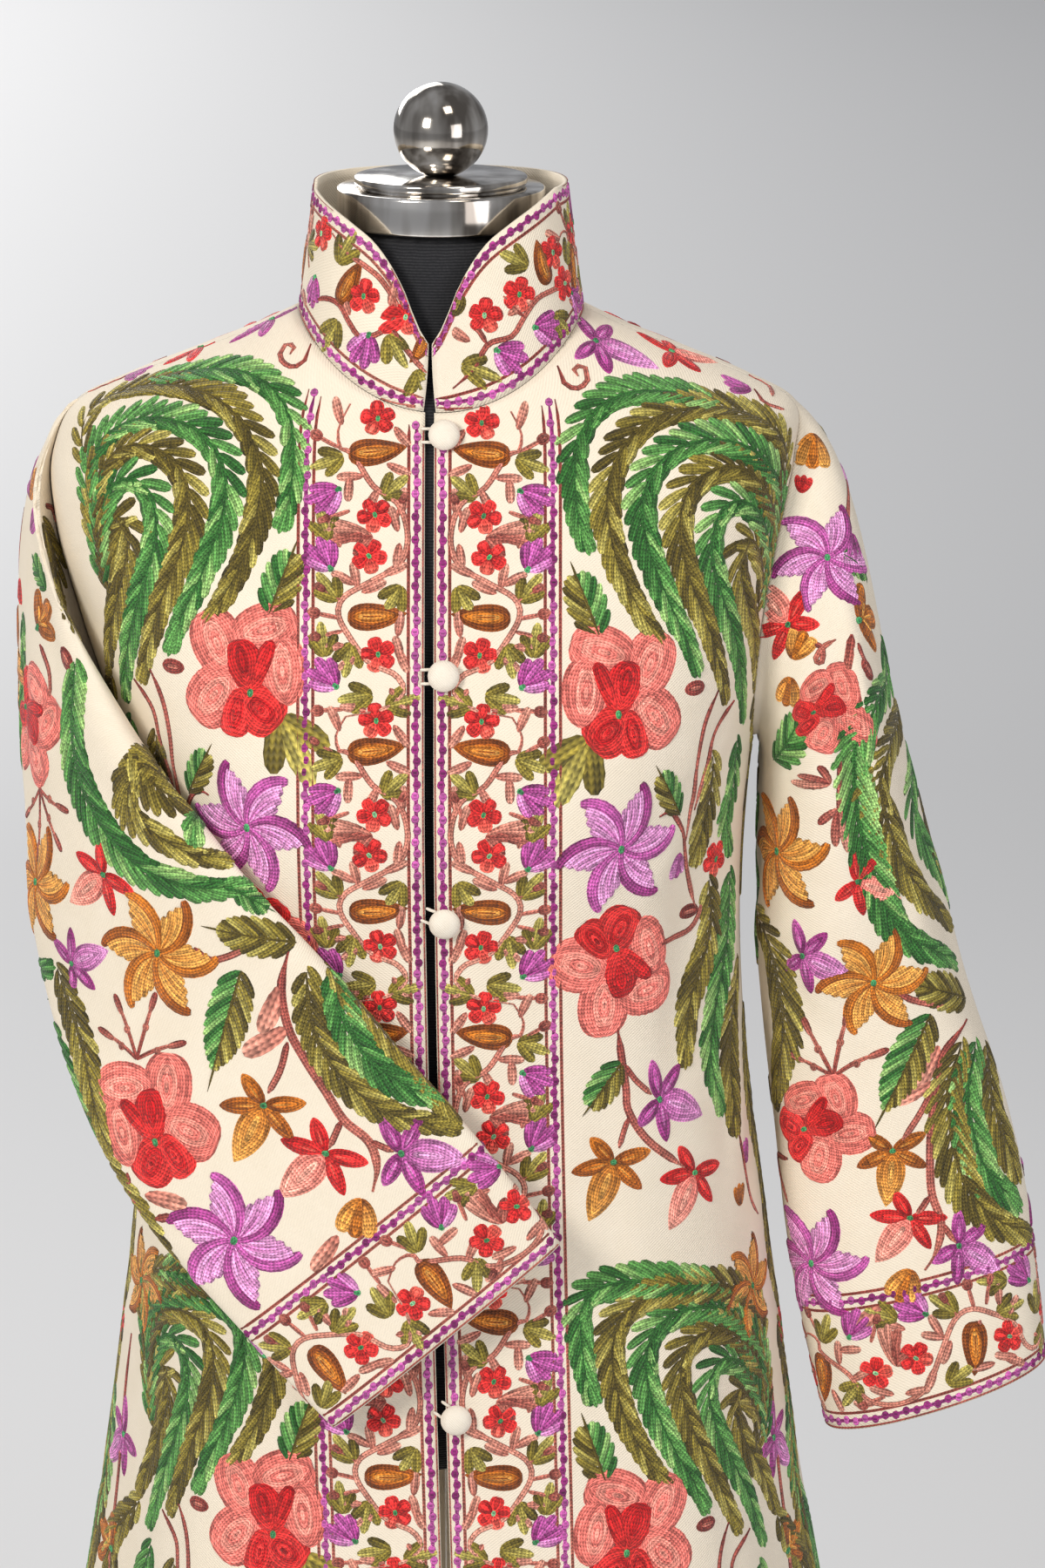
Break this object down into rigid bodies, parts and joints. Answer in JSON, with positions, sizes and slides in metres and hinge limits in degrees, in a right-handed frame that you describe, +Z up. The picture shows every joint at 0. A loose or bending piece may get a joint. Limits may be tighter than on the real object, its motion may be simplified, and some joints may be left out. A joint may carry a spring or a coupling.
{
  "type": "embroidered jacket on a dress form",
  "caption": "Long flared jacket with stand collar, buttoned edge-to-edge front and floral chain-stitch embroidery, worn by a limbless dress form on a round stand",
  "frame": {"origin": "on the floor under the stand's pole, at the middle of the base plate's underside", "axes": "+Z up along the pole, the jacket's front faces -Y, +X is the wearer's left"},
  "size_m": [0.5957, 0.3537, 1.5277],
  "materials": {
    "cloth": "cream cotton twill with chain-stitch embroidery",
    "button_cloth": "cream cotton",
    "jersey": "black ribbed jersey",
    "chrome": "polished"
  },
  "bodies": {
    "root": {"front_left": "cloth", "front_right": "cloth", "back": "cloth", "sleeve_left": "cloth", "sleeve_right": "cloth", "collar": "cloth", "button_1": "button_cloth", "button_2": "button_cloth", "button_3": "button_cloth", "button_4": "button_cloth", "button_5": "button_cloth", "button_6": "button_cloth", "loop_1": "button_cloth", "loop_2": "button_cloth", "loop_3": "button_cloth", "loop_4": "button_cloth", "loop_5": "button_cloth", "loop_6": "button_cloth", "form_torso": "jersey", "neck_cap": "chrome", "neck_ball": "chrome", "pole": "chrome", "pole_socket": "chrome", "base_plate": "chrome"}
  },
  "joints": []
}
